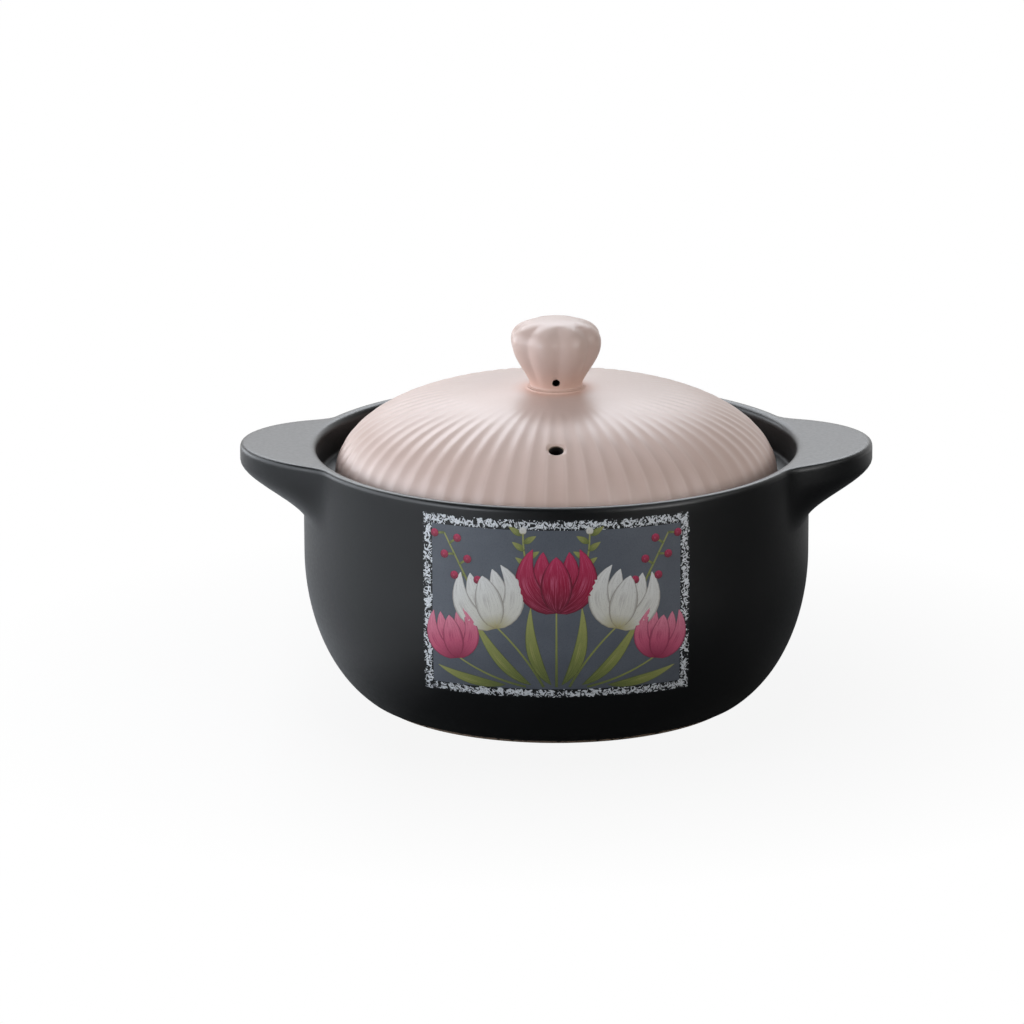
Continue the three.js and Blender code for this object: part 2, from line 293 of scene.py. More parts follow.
# Fineness of the meshes
POT_COLUMNS = 240
FLUTE_COLUMNS = 6
LOBE_COLUMNS = 16
VENT_COLUMNS = 40
VENT_RINGS = 13
FLOOR_COLUMNS = 96
ROUND_STEPS = 5
LOWER_WALL_RINGS = 29
UPPER_WALL_RINGS = 4
EAR_RINGS = 18
EAR_BLEND_SAMPLES = 11
RIM_RINGS = 9
BOWL_RINGS = 23
BOWL_FLOOR_SHARES = (0.66, 0.33, 0)
DOME_RINGS = 60
HOLLOW_DOME_RINGS = 19
FLARE_RINGS = 22
CROWN_RINGS = 18
HOLLOW_FLARE_RINGS = 9
HOLLOW_CROWN_RINGS = 8
WALL_SAMPLES = 200
GROUND_COLUMNS = 61
GROUND_ROWS = 37
BORDER_ROWS = 5
BORDER_SIDE_POINTS = 49
STROKE_STEPS = 12
STROKE_SIDES = 4
STEM_STEPS = 10
STEM_SIDES = 2
BERRY_STEPS = 10
LEAST_LENGTH = 1e-9

# Places and counts that follow from the sizes
GALLERY_RADIUS = BODY_RADIUS - RIM_WIDTH
LEDGE_HEIGHT = SKIRT_FOOT + SKIRT_DEPTH
LID_RADIUS = GALLERY_RADIUS - LID_EDGE_GAP
LEDGE_BORE = LID_RADIUS - LEDGE_BEARING
SKIRT_RADIUS = LEDGE_BORE - SKIRT_CLEARANCE
SKIRT_BORE = SKIRT_RADIUS - SKIRT_THICKNESS
BOWL_RADIUS = BODY_RADIUS - WALL_THICKNESS
FLOOR_HEIGHT = FOOT_RECESS + FLOOR_THICKNESS
KNOB_BEAD_RADIUS = KNOB_NECK_RADIUS + KNOB_BEAD_WIDTH
KNOB_SEAT_RADIUS = KNOB_BEAD_RADIUS + KNOB_SEAT_MARGIN
LID_COLUMNS = FLUTE_COUNT * FLUTE_COLUMNS
KNOB_COLUMNS = LOBE_COUNT * LOBE_COLUMNS


# Mesh helpers

def smooth_step(low, high, value):
    share = np.clip((value - low) / (high - low), 0, 1)
    return share * share * (3 - 2 * share)


def softened(wave, softness):
    """The size of a wave from 0 to 1, with its sharp turn at nothing rounded off."""
    return (np.sqrt(wave**2 + softness**2) - softness) / (math.hypot(1, softness) - softness)


def column_angles(columns):
    return np.arange(columns) * (2 * math.pi / columns)


def ring(radius, height, thin=0.0, bare=0.0):
    """One ring of a turned piece: radii and heights, and how thin and how bare the glaze is there.

    The glaze pools where thin is below zero, with painted shading in its colour, and a vent's wall is
    painted dark as shade where bare is above one.
    """
    return radius, height, thin, bare


def toward(here, there, distance):
    step = there - here
    return here + step * distance / np.maximum(np.hypot(step[0], step[1]), LEAST_LENGTH)


def rounded(corners, columns):
    """Rings along a line of corners. A corner is its ring and the length over which it is rounded off.

    Thin glaze is thinnest at the middle of a rounding, and a pool is equally deep all over it.
    """
    places = [
        np.array([np.broadcast_to(value, columns) for value in corner[:2]], float)
        for corner, _ in corners
    ]
    rings = []
    for index, ((_, _, thin, bare), cut) in enumerate(corners):
        here = places[index]
        if np.max(cut) == 0:
            rings.append(ring(here[0], here[1], thin, bare))
            continue
        before = toward(here, places[index - 1], cut)
        after = toward(here, places[index + 1], cut)
        for share in np.linspace(0, 1, ROUND_STEPS + 1):
            spot = (1 - share) ** 2 * before + 2 * share * (1 - share) * here + share**2 * after
            worn = thin * 4 * share * (1 - share)
            rings.append(ring(spot[0], spot[1], worn if thin > 0 else thin, bare))
    return rings


def new_piece(name, vertices, faces, material):
    mesh = bpy.data.meshes.new(name)
    mesh.from_pydata(vertices.tolist(), [], faces)
    mesh.polygons.foreach_set("use_smooth", [True] * len(mesh.polygons))
    mesh.materials.append(material)
    piece = bpy.data.objects.new(name, mesh)
    bpy.context.scene.collection.objects.link(piece)
    return piece


def turned_piece(name, rings, columns, material):
    """A closed surface of rings about the Z axis, whose first and last rings are points on the axis."""
    angle = column_angles(columns)
    vertices = []
    thin_marks = []
    bare_marks = []
    for radius, height, thin, bare in rings[1:-1]:
        radius = np.broadcast_to(radius, columns)
        height = np.broadcast_to(height, columns)
        vertices.append(np.stack([radius * np.sin(angle), -radius * np.cos(angle), height], axis=1))
        thin_marks.append(np.broadcast_to(thin, columns))
        bare_marks.append(np.broadcast_to(bare, columns))
    for _, height, thin, bare in (rings[0], rings[-1]):
        vertices.append(np.array([[0.0, 0.0, float(np.mean(height))]]))
        thin_marks.append(np.array([thin]))
        bare_marks.append(np.array([bare]))
    vertices = np.concatenate(vertices)
    first_pole = len(vertices) - 2
    last_pole = len(vertices) - 1
    top_row = first_pole - columns
    faces = []
    for column in range(columns):
        following = (column + 1) % columns
        faces.append((first_pole, following, column))
        for row in range(0, top_row, columns):
            faces.append((row + column, row + following, row + columns + following, row + columns + column))
        faces.append((top_row + column, top_row + following, last_pole))
    piece = new_piece(name, vertices, faces, material)
    for label, values in (("thin", thin_marks), ("bare", bare_marks)):
        attribute = piece.data.attributes.new(label, "FLOAT", "POINT")
        attribute.data.foreach_set("value", np.concatenate(values).astype(np.float32))
    return piece


def apply_modifiers(piece):
    graph = bpy.context.evaluated_depsgraph_get()
    finished = bpy.data.meshes.new_from_object(piece.evaluated_get(graph))
    piece.modifiers.clear()
    rough = piece.data
    piece.data = finished
    bpy.data.meshes.remove(rough)
    finished.name = piece.name


def shade_bore(mesh, radius, lip, depth, place, direction):
    """Marks the wall of a hole to be painted dark as shade, fading out over its lip."""
    spots = np.zeros(3 * len(mesh.vertices))
    mesh.vertices.foreach_get("co", spots)
    spots = spots.reshape(-1, 3) - place
    along = spots @ direction
    off_axis = np.linalg.norm(spots - np.outer(along, direction), axis=1)
    bore_shade = VENT_SHADED * smooth_step(lip, 0, off_axis - radius) * smooth_step(0, -lip, along)
    marks = np.zeros(len(mesh.vertices), np.float32)
    mesh.attributes["bare"].data.foreach_get("value", marks)
    in_bore = (off_axis < radius + lip) & (np.abs(along) < depth)
    marks[in_bore] = bore_shade[in_bore]
    mesh.attributes["bare"].data.foreach_set("value", marks)


def drill(piece, radius, lip, depth, place, direction):
    """Cuts a round hole with a rounded lip, from a place on the surface back along a direction, and marks
    its wall for painted shade.
    """
    overcut = 2 * lip
    rings = [ring(0, -depth)]
    rings += [ring(radius, height) for height in np.linspace(-depth, -lip, VENT_RINGS)[:-1]]
    for turn in np.linspace(0, math.pi / 2, ROUND_STEPS + 1):
        rings.append(ring(radius + lip * (1 - math.cos(turn)), lip * (math.sin(turn) - 1)))
    rings += [ring(radius + overcut, overcut), ring(0, overcut)]
    cutter = turned_piece("cutter", rings, VENT_COLUMNS, piece.data.materials[0])
    aim = Vector((0, 0, 1)).rotation_difference(direction).to_matrix().to_4x4()
    cutter.matrix_world = Matrix.Translation(place) @ aim
    bpy.context.view_layer.update()
    cut = piece.modifiers.new("vent", "BOOLEAN")
    cut.operation = "DIFFERENCE"
    cut.solver = "EXACT"
    cut.object = cutter
    apply_modifiers(piece)
    bpy.data.objects.remove(cutter)
    shade_bore(piece.data, radius, lip, depth, np.array(place), np.array(direction))


# Shader helpers, with the places of a mix node's colour sockets

MIX_FIRST = 6
MIX_SECOND = 7
MIX_RESULT = 2


def tone(red, green, blue):
    """A colour as it looks on a screen, from 0 to 255, made linear by the sRGB curve."""
    linear = []
    for value in (red, green, blue):
        share = value / 255
        linear.append(share / 12.92 if share <= 0.04045 else ((share + 0.055) / 1.055) ** 2.4)
    return (*linear, 1.0)


def node(tree, kind, inputs, **settings):
    made = tree.nodes.new(kind)
    for name, value in settings.items():
        setattr(made, name, value)
    for socket, value in inputs.items():
        if isinstance(value, bpy.types.NodeSocket):
            tree.links.new(value, made.inputs[socket])
        else:
            made.inputs[socket].default_value = value
    return made


def noise(tree, place, scale, detail, distortion=0.0):
    inputs = {"Vector": place, "Scale": scale, "Detail": detail, "Distortion": distortion}
    return node(tree, "ShaderNodeTexNoise", inputs).outputs["Fac"]


def ramp(tree, factor, stops):
    """A colour that follows a factor through stops of place and colour."""
    made = node(tree, "ShaderNodeValToRGB", {"Fac": factor})
    elements = made.color_ramp.elements
    while len(elements) < len(stops):
        elements.new(0.5)
    for element, (place, colour) in zip(elements, stops):
        element.position = place
        element.color = colour
    return made.outputs["Color"]


def blend(tree, factor, first, second):
    inputs = {"Factor": factor, MIX_FIRST: first, MIX_SECOND: second}
    return node(tree, "ShaderNodeMix", inputs, data_type="RGBA").outputs[MIX_RESULT]


def span(tree, value, source, target=(0, 1)):
    """A value carried from one range to another, and held at its ends."""
    inputs = {"Value": value}
    inputs["From Min"], inputs["From Max"] = source
    inputs["To Min"], inputs["To Max"] = target
    return node(tree, "ShaderNodeMapRange", inputs).outputs["Result"]


def maths(tree, operation, first, second):
    return node(tree, "ShaderNodeMath", {0: first, 1: second}, operation=operation).outputs["Value"]


def bump(tree, height, distance, strength):
    inputs = {"Height": height, "Distance": distance, "Strength": strength}
    return node(tree, "ShaderNodeBump", inputs).outputs["Normal"]


def part(tree, vector, axis):
    return node(tree, "ShaderNodeSeparateXYZ", {"Vector": vector}).outputs[axis]


def off_middle(tree, share):
    return maths(tree, "ABSOLUTE", maths(tree, "SUBTRACT", share, 0.5), 0)


def new_material(name):
    material = bpy.data.materials.new(name)
    material.use_nodes = True
    tree = material.node_tree
    return material, tree, tree.nodes["Principled BSDF"]


def object_place(tree):
    return node(tree, "ShaderNodeTexCoord", {}).outputs["Object"]


def film_place(tree):
    return node(tree, "ShaderNodeUVMap", {}).outputs["UV"]


def mark(tree, name):
    return node(tree, "ShaderNodeAttribute", {}, attribute_name=name).outputs["Fac"]


# Finishes

CLAY_PALE = tone(138, 118, 100)
CLAY_DARK = tone(96, 82, 70)
# Painted shade inside the vents' bores
VENT_SHADE = tone(16, 9, 6)
SLATE_DARK = tone(80, 85, 93)
SLATE_PALE = tone(90, 95, 103)
SLATE_DOT = tone(66, 70, 77)
BORDER_BLACK = tone(12, 13, 14)
FLECK_GREY = tone(172, 176, 180)
FLECK_WHITE = tone(220, 223, 226)
BOARD_DARK = tone(68, 68, 68)
BOARD_PALE = tone(76, 76, 76)
CARD_PALE = tone(208, 208, 208)


def pool_and_shading_depth(tree, thin):
    return span(tree, thin, (POOLED_AND_SHADED, 0), (1, 0))


def glaze_colour(tree, clouds, grain, thin, deep, light, worn, pool_and_shading, specks):
    """Clouded and specked, worn pale where it is thin, and in pools with painted shading: warmer as bounced
    light on the pink, darker as shade on the black.
    """
    cloudy = span(tree, clouds, NOISE_RANGE)
    specked = span(tree, grain, SPECK_RANGE, (0, specks))
    edges = span(tree, thin, EDGE_RANGE, (0, EDGE_WEAR))
    colour = blend(tree, cloudy, deep, light)
    colour = blend(tree, specked, colour, worn)
    colour = blend(tree, pool_and_shading_depth(tree, thin), colour, pool_and_shading)
    return blend(tree, edges, colour, worn)


# Sandy clay, turning to painted shade inside the vents
def clay_and_bore_shade_colour(tree, grain, bare):
    sandy = span(tree, grain, SAND_RANGE, (0, SAND_SHARE))
    bore_shading = span(tree, bare, (WIPED, VENT_SHADED))
    return blend(tree, bore_shading, blend(tree, sandy, CLAY_PALE, CLAY_DARK), VENT_SHADE)


def glaze_material(name, deep, light, worn, pool_and_shading, roughness, specks):
    """A satin glaze, clouded, thin on edges and pooled in hollows with painted shading, over clay that is
    bare where wiped and painted dark as shade in the vents.
    """
    material, tree, shader = new_material(name)
    place = object_place(tree)
    clouds = noise(tree, place, CLOUD_SCALE, 3)
    grain = noise(tree, place, GRAIN_SCALE, 2)
    fine = noise(tree, place, FINE_SCALE, 3)
    ripples = noise(tree, place, RIPPLE_SCALE, 2)
    thin = mark(tree, "thin")
    bare = mark(tree, "bare")
    # Where the clay shows, and where the vents are painted dark as shade
    clay_or_bore_shade = span(tree, maths(tree, "ADD", bare, fine), WIPED_RANGE)
    glaze = glaze_colour(tree, clouds, grain, thin, deep, light, worn, pool_and_shading, specks)
    colour = blend(tree, clay_or_bore_shade, glaze, clay_and_bore_shade_colour(tree, grain, bare))
    satin = span(tree, fine, NOISE_RANGE, roughness)
    dulled = maths(tree, "MULTIPLY", pool_and_shading_depth(tree, thin), POOL_DULLNESS)
    matt = maths(tree, "MULTIPLY", clay_or_bore_shade, CLAY_ROUGHNESS)
    rough = maths(tree, "MAXIMUM", maths(tree, "ADD", satin, dulled), matt)
    height = maths(tree, "ADD", ripples, maths(tree, "MULTIPLY", fine, FINE_BUMP_SHARE))
    tree.links.new(colour, shader.inputs["Base Color"])
    tree.links.new(rough, shader.inputs["Roughness"])
    tree.links.new(bump(tree, height, GLAZE_BUMP, GLAZE_BUMP_STRENGTH), shader.inputs["Normal"])
    return material


BLACK_GLAZE = glaze_material(
    "black_glaze",
    deep=tone(6, 7, 8),
    light=tone(10, 11, 12),
    worn=tone(74, 66, 61),
    # Darker in pools: painted shade in the gallery's corner
    pool_and_shading=tone(2, 2, 2),
    roughness=(0.32, 0.38),
    specks=0.04,
)
PINK_GLAZE = glaze_material(
    "pink_glaze",
    deep=tone(203, 178, 167),
    light=tone(208, 184, 174),
    worn=tone(232, 214, 206),
    # Warmer in pools: painted bounce light round the knob's foot
    pool_and_shading=tone(212, 178, 163),
    roughness=(0.33, 0.39),
    specks=0.02,
)


def film_material(name, colour_of):
    """A fired-on colour, satin, with the faint grain of its print dots."""
    material, tree, shader = new_material(name)
    place = object_place(tree)
    grain = noise(tree, place, PRINT_SCALE, 2)
    tree.links.new(colour_of(tree, place, grain), shader.inputs["Base Color"])
    tree.links.new(span(tree, grain, NOISE_RANGE, FILM_ROUGHNESS), shader.inputs["Roughness"])
    tree.links.new(bump(tree, grain, PRINT_BUMP, PRINT_BUMP_STRENGTH), shader.inputs["Normal"])
    return material


def slate_colour(tree, place, grain):
    clouds = noise(tree, place, SLATE_CLOUD_SCALE, 3)
    ground = ramp(tree, clouds, [(NOISE_LOW, SLATE_DARK), (NOISE_HIGH, SLATE_PALE)])
    dots = span(tree, grain, SLATE_DOT_RANGE, (0, SLATE_DOT_SHARE))
    return blend(tree, dots, ground, SLATE_DOT)


def speckle_colour(tree, place, grain):
    """White flecks on black, close together along the middle of the border and ragged at its edges."""
    off_line = off_middle(tree, part(tree, film_place(tree), "Y"))
    sparse = span(tree, off_line, SPARSE_RANGE, (0, SPARSE_LOSS))
    flecks = noise(tree, place, FLECK_SCALE, 1, FLECK_DISTORTION)
    cover = span(tree, maths(tree, "SUBTRACT", flecks, sparse), FLECK_RANGE)
    shade = ramp(tree, grain, [(FLECK_GREY_AT, FLECK_GREY), (FLECK_WHITE_AT, FLECK_WHITE)])
    return blend(tree, cover, BORDER_BLACK, shade)


def enamel_colour(stops, edge, streak):
    """A petal or leaf: a colour from its base to its tip, streaked lengthways, with a darker rim line."""
    def colour(tree, place, grain):
        uv = film_place(tree)
        stretched = node(tree, "ShaderNodeMapping", {"Vector": uv, "Scale": STREAK_STRETCH})
        brush = noise(tree, stretched.outputs["Vector"], 1, 3)
        streaks = span(tree, brush, STREAK_RANGE, (0, STREAK_SHARE))
        rim = span(tree, off_middle(tree, part(tree, uv, "X")), RIM_LINE_RANGE, (0, RIM_LINE_SHARE))
        dots = span(tree, grain, PETAL_DOT_RANGE, (0, PETAL_DOT_SHARE))
        along = ramp(tree, part(tree, uv, "Y"), stops)
        lined = blend(tree, rim, blend(tree, streaks, along, streak), edge)
        return blend(tree, dots, lined, edge)
    return colour


SLATE_FILM = film_material("slate_film", slate_colour)
SPECKLE_FILM = film_material("speckle_film", speckle_colour)
WHITE_ENAMEL = film_material("white_enamel", enamel_colour(
    [(0.0, tone(150, 140, 84)), (0.25, tone(198, 196, 186)), (1.0, tone(212, 212, 210))],
    edge=tone(120, 112, 104),
    streak=tone(168, 164, 160),
))
PINK_ENAMEL = film_material("pink_enamel", enamel_colour(
    [(0.0, tone(128, 36, 66)), (0.4, tone(186, 84, 112)), (1.0, tone(208, 128, 148))],
    edge=tone(112, 30, 58),
    streak=tone(150, 48, 82),
))
CRIMSON_ENAMEL = film_material("crimson_enamel", enamel_colour(
    [(0.0, tone(92, 10, 34)), (0.5, tone(142, 18, 54)), (1.0, tone(176, 44, 84))],
    edge=tone(70, 8, 28),
    streak=tone(188, 92, 120),
))
LEAF_ENAMEL = film_material("leaf_enamel", enamel_colour(
    [(0.0, tone(74, 86, 46)), (0.5, tone(116, 124, 66)), (1.0, tone(146, 148, 88))],
    edge=tone(56, 64, 38),
    streak=tone(156, 154, 96),
))


# Pot body with its two ear handles

def lower_wall():
    """Half axes of the elliptical lower wall, across and down from the shoulder."""
    across = (BODY_RADIUS - FOOT_RADIUS - FOOT_STEP) / (1 - math.cos(LOWER_WALL_SWEEP))
    down = (SHOULDER_HEIGHT - FOOT_HEIGHT) / math.sin(LOWER_WALL_SWEEP)
    return across, down


def wall_radius(height):
    across, down = lower_wall()
    below = np.clip((SHOULDER_HEIGHT - height) / down, 0, 1)
    return BODY_RADIUS - across * (1 - np.sqrt(1 - below**2))


def ear_plan(angle):
    """Share of the handles' reach at an angle, for both ears."""
    turned = np.arctan2(np.sin(angle), np.cos(angle))
    share = (np.abs(turned) - math.pi / 2) / HANDLE_HALF_ANGLE
    return np.maximum(0, 1 - share**2) ** HANDLE_POINT_POWER


def blended_ear_plan(angle):
    """The ears' plan with their roots blended into the rim."""
    offsets = np.linspace(-HANDLE_BLEND, HANDLE_BLEND, EAR_BLEND_SAMPLES)
    tip = np.mean(ear_plan(math.pi / 2 + offsets))
    return np.mean([ear_plan(angle + offset) for offset in offsets], axis=0) / tip


def foot_rings():
    """The recess under the floor, the foot ring and the lower wall."""
    across, down = lower_wall()
    ring_bore = FOOT_RADIUS - FOOT_RING_WIDTH
    wall = []
    for turn in np.linspace(LOWER_WALL_SWEEP, 0, LOWER_WALL_RINGS):
        radius = BODY_RADIUS - across * (1 - math.cos(turn))
        wall.append((radius, SHOULDER_HEIGHT - down * math.sin(turn)))
    rings = rounded(
        [
            (ring(0, FOOT_RECESS, bare=WIPED), 0),
            (ring(ring_bore - FOOT_RING_WIDTH, FOOT_RECESS, bare=WIPED), 0),
            (ring(ring_bore, FOOT_RECESS, bare=WIPED), FOOT_ROUND),
            (ring(ring_bore, 0, bare=WIPED), FOOT_ROUND),
            (ring(FOOT_RADIUS, 0, bare=FOOT_BARE), FOOT_ROUND),
            (ring(FOOT_RADIUS, FOOT_HEIGHT), FOOT_ROUND),
            (ring(*wall[0], thin=FOOT_THIN), FOOT_ROUND),
            (ring(*wall[1]), 0),
        ],
        POT_COLUMNS,
    )
    return rings + [ring(*spot) for spot in wall[2:]]


def bowl_rings(rim_out, rim_in):
    """The rim's inner edge, the gallery, the ledge for the lid and the bowl."""
    slope_foot = LEDGE_HEIGHT - LEDGE_THICKNESS - (BOWL_RADIUS - LEDGE_BORE)
    bowl = []
    for turn in np.linspace(0, math.pi / 2, BOWL_RINGS):
        radius = BOWL_RADIUS - BOWL_CORNER_WIDTH * (1 - math.cos(turn))
        bowl.append((radius, slope_foot - (slope_foot - FLOOR_HEIGHT) * math.sin(turn)))
    rings = rounded(
        [
            (rim_out, 0),
            (rim_in, RIM_INNER_ROUND),
            # Painted shade as a darker pool in the gallery's corner
            (ring(GALLERY_RADIUS, LEDGE_HEIGHT, POOLED_AND_SHADED), LEDGE_ROUND),
            (ring(LEDGE_BORE, LEDGE_HEIGHT, LEDGE_THIN), LEDGE_ROUND),
            (ring(LEDGE_BORE, LEDGE_HEIGHT - LEDGE_THICKNESS, LEDGE_THIN), LEDGE_ROUND),
            (ring(*bowl[0]), BOWL_ROUND),
            (ring(*bowl[2]), 0),
        ],
        POT_COLUMNS,
    )[1:]
    rings += [ring(*spot) for spot in bowl[3:]]
    return rings + [ring(bowl[-1][0] * share, FLOOR_HEIGHT) for share in BOWL_FLOOR_SHARES]


def pot_rings():
    plan = blended_ear_plan(column_angles(POT_COLUMNS))
    reach = HANDLE_REACH * plan
    lift = HANDLE_LIFT * plan
    outer = BODY_RADIUS + reach
    edge_round = RIM_ROUND + (HANDLE_EDGE_ROUND - RIM_ROUND) * plan
    ear_foot = RIM_HEIGHT - HANDLE_DROP
    ear_edge = RIM_HEIGHT - HANDLE_EDGE_DEPTH
    rings = foot_rings()
    heights = np.concatenate([
        np.linspace(SHOULDER_HEIGHT, ear_foot, UPPER_WALL_RINGS)[1:],
        np.linspace(ear_foot, ear_edge, EAR_RINGS)[1:],
    ])
    for height in heights:
        swell = smooth_step(ear_foot, ear_edge, height)
        rings.append(ring(BODY_RADIUS + reach * swell, height + lift * swell))
    below_rim = ring(outer, ear_edge + lift)
    rim_out = ring(outer, RIM_HEIGHT + lift)
    rim_in = ring(GALLERY_RADIUS, RIM_HEIGHT)
    rings += rounded([(below_rim, 0), (rim_out, edge_round), (rim_in, 0)], POT_COLUMNS)[1:-1]
    for share in np.linspace(0, 1, RIM_RINGS)[1:-1]:
        radius = (outer - edge_round) * (1 - share) + (GALLERY_RADIUS + RIM_INNER_ROUND) * share
        rings.append(ring(radius, RIM_HEIGHT + lift * (radius - GALLERY_RADIUS) / (outer - GALLERY_RADIUS)))
    return rings + bowl_rings(rim_out, rim_in)


pot = turned_piece("glazed_pot", pot_rings(), POT_COLUMNS, BLACK_GLAZE)
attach(pot, "pot")
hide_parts("pot_body", "left_handle", "right_handle")


# Lid: a fluted dome with a locating skirt and a steam vent

def dome_point(base_radius, rise, turn):
    radius = base_radius * np.cos(turn) ** (2 / DOME_PLAN_POWER)
    return radius, LEDGE_HEIGHT + rise * np.sin(turn) ** (2 / DOME_RISE_POWER)


def dome_rise(radius):
    return LID_RISE * (1 - (radius / LID_RADIUS) ** DOME_PLAN_POWER) ** (1 / DOME_RISE_POWER)


def dome_normal(radius):
    """Outward direction of the dome at a radius, as its parts across and up."""
    rise = dome_rise(radius)
    across = DOME_PLAN_POWER * (radius / LID_RADIUS) ** (DOME_PLAN_POWER - 1) / LID_RADIUS
    up = DOME_RISE_POWER * (rise / LID_RISE) ** (DOME_RISE_POWER - 1) / LID_RISE
    length = np.hypot(across, up)
    return across / length, up / length


def dome_rings(wave):
    """The fluted outside of the dome, from its edge to the knob's seat."""
    start_turn = math.asin((LID_EDGE_ROUND / LID_RISE) ** (DOME_RISE_POWER / 2))
    end_turn = math.acos((KNOB_SEAT_RADIUS / LID_RADIUS) ** (DOME_PLAN_POWER / 2))
    rings = []
    for turn in np.linspace(start_turn, end_turn, DOME_RINGS)[1:]:
        radius, height = dome_point(LID_RADIUS, LID_RISE, turn)
        across, up = dome_normal(radius)
        fade = smooth_step(FLUTE_START_RADIUS, FLUTE_START_RADIUS + FLUTE_RUNOUT, radius)
        depth = FLUTE_DEPTH * fade * wave
        # Painted bounce light, as a warmer pool of glaze, towards the knob's seat
        pool_and_shading = smooth_step(POOL_AND_SHADING_RADIUS, KNOB_SEAT_RADIUS, radius)
        thin = RIDGE_THIN * fade * (1 - wave) ** RIDGE_POWER - pool_and_shading
        rings.append(ring(radius - depth * across, height - depth * up, thin))
    return rings


def seat_rings():
    """The fillet of glaze round the knob's bead, warmer as painted bounce light, and the flat seat under
    the knob.
    """
    collar = KNOB_BEAD_RADIUS + LID_SEAT_GAP
    rings = []
    for share in np.linspace(0, 1, ROUND_STEPS + 1)[1:]:
        radius = KNOB_SEAT_RADIUS + (collar - KNOB_SEAT_RADIUS) * share
        rise = KNOB_BEAD_HEIGHT * (1 - math.sqrt(1 - share**2)) * KNOB_FILLET_SHARE
        rings.append(ring(radius, KNOB_SEAT + rise, POOLED_AND_SHADED))
    return rings + [ring(collar, KNOB_SEAT, POOLED_AND_SHADED), ring(0, KNOB_SEAT, POOLED_AND_SHADED)]


def lid_rings():
    """From the top of the hollow down, round the skirt and the edge, and up the dome to the knob's seat."""
    wave = softened(np.cos(FLUTE_COUNT / 2 * column_angles(LID_COLUMNS)), FLUTE_SOFTNESS)
    edge_radius = LID_RADIUS - FLUTE_DEPTH * wave
    seat = LEDGE_HEIGHT + LID_SEAT_GAP
    rings = []
    for turn in np.linspace(math.pi / 2, 0, HOLLOW_DOME_RINGS):
        rings.append(ring(*dome_point(SKIRT_BORE, LID_RISE - LID_THICKNESS, turn)))
    rings += rounded(
        [
            (ring(SKIRT_BORE, LEDGE_HEIGHT), 0),
            (ring(SKIRT_BORE, SKIRT_FOOT, LID_EDGE_THIN), SKIRT_ROUND),
            (ring(SKIRT_RADIUS, SKIRT_FOOT, LID_EDGE_THIN, SKIRT_BARE), SKIRT_ROUND),
            (ring(SKIRT_RADIUS, seat, bare=WIPED), SKIRT_ROUND),
            (ring(edge_radius, seat, LID_EDGE_THIN, LID_EDGE_BARE), LID_EDGE_ROUND),
            (ring(edge_radius, seat + 3 * LID_EDGE_ROUND), 0),
        ],
        LID_COLUMNS,
    )[1:-1]
    return rings + dome_rings(wave) + seat_rings()


lid = turned_piece("glazed_lid", lid_rings(), LID_COLUMNS, PINK_GLAZE)
vent_radius = LID_RADIUS - LID_VENT_INSET
vent_across, vent_up = dome_normal(vent_radius)
vent_place = Vector((0, -vent_radius, LEDGE_HEIGHT + dome_rise(vent_radius)))
vent_direction = Vector((0, -vent_across, vent_up))
vent_surface = vent_place - vent_direction * FLUTE_DEPTH
drill(lid, LID_VENT_RADIUS, LID_VENT_LIP, 2 * LID_THICKNESS, vent_surface, vent_direction)
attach(lid, "lid")
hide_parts("lid")


# Knob: a hollow bulb with soft lobes and a small vent in its neck

def knob_side(inset, flare_rings, crown_rings):
    """Radii and heights of the side above the bead, out to the widest place and over the crown."""
    neck = KNOB_NECK_RADIUS - inset
    spread = KNOB_RADIUS - KNOB_NECK_RADIUS
    widest = KNOB_HEIGHT - KNOB_CROWN_HEIGHT
    spots = []
    for turn in np.linspace(0, math.pi / 2, flare_rings):
        height = KNOB_BEAD_HEIGHT + (widest - KNOB_BEAD_HEIGHT) * turn / (math.pi / 2)
        spots.append((neck + spread * math.sin(turn) ** KNOB_FLARE_POWER, KNOB_SEAT + height))
    for turn in np.linspace(0, math.pi / 2, crown_rings)[1:]:
        radius = (KNOB_RADIUS - inset) * math.cos(turn) ** (2 / KNOB_CROWN_POWER)
        rise = (KNOB_CROWN_HEIGHT - inset) * math.sin(turn) ** (2 / KNOB_CROWN_POWER)
        spots.append((radius, KNOB_SEAT + widest + rise))
    return np.array(spots)


def lobed_rings():
    """The outside above the bead, with grooves between the lobes that die out at the neck and the crown."""
    angle = column_angles(KNOB_COLUMNS)
    groove = 1 - softened(np.sin(LOBE_COUNT / 2 * (angle - LOBE_TURN)), LOBE_SOFTNESS)
    radii, heights = knob_side(0, FLARE_RINGS, CROWN_RINGS).T
    along_radius = np.gradient(radii)
    along_height = np.gradient(heights)
    length = np.hypot(along_radius, along_height)
    spread = np.clip((radii - KNOB_NECK_RADIUS) / (KNOB_RADIUS - KNOB_NECK_RADIUS), 0, 1)
    fade = spread**LOBE_FADE_POWER
    # Painted bounce light, as a warmer pool of glaze, up the knob's foot
    pool_and_shading = smooth_step(KNOB_SEAT + POOL_AND_SHADING_HEIGHT, KNOB_SEAT, heights)
    rings = []
    for index in range(len(radii) - 1):
        depth = LOBE_DEPTH * fade[index] * groove
        across = along_height[index] / length[index]
        up = -along_radius[index] / length[index]
        rings.append(ring(radii[index] - depth * across, heights[index] - depth * up, -pool_and_shading[index]))
    return rings + [ring(0, heights[-1])]


